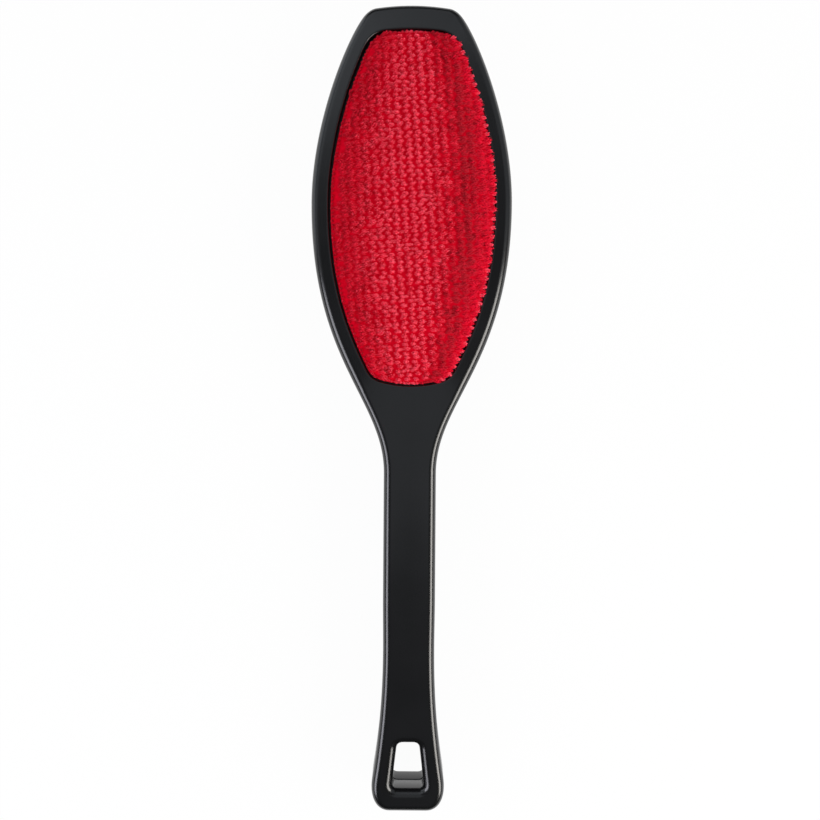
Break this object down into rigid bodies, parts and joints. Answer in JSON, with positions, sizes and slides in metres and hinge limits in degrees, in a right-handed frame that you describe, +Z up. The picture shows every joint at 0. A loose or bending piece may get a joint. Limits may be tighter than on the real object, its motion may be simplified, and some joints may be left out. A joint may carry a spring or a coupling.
{
  "type": "pet hair removal brush",
  "caption": "Double-sided pet hair and lint brush: black paddle body with a straight grip and hang hole, and a crowned red directional-nap pad in each face.",
  "frame": {"origin": "on the floor under the middle of the brush, which lies face up on its rear pad", "axes": "+X to the right across the head, +Y from the butt to the head's top end, +Z up out of the front pad"},
  "size_m": [0.0674, 0.27, 0.0256],
  "materials": {
    "black_plastic": "satin moulded black plastic with a fine grain",
    "plate_plastic": "plain moulded dark plastic, hidden inside",
    "grey_foam": "open-cell sponge underlay, hidden under the cloth",
    "red_nap": "red directional nap, tufts in rows with paler tips"
  },
  "bodies": {
    "root": {"front_shell": "black_plastic", "rear_shell": "black_plastic", "front_pad_plate": "plate_plastic", "rear_pad_plate": "plate_plastic", "front_foam_pad": "grey_foam", "rear_foam_pad": "grey_foam", "front_nap_cloth": "red_nap", "rear_nap_cloth": "red_nap"}
  },
  "joints": []
}
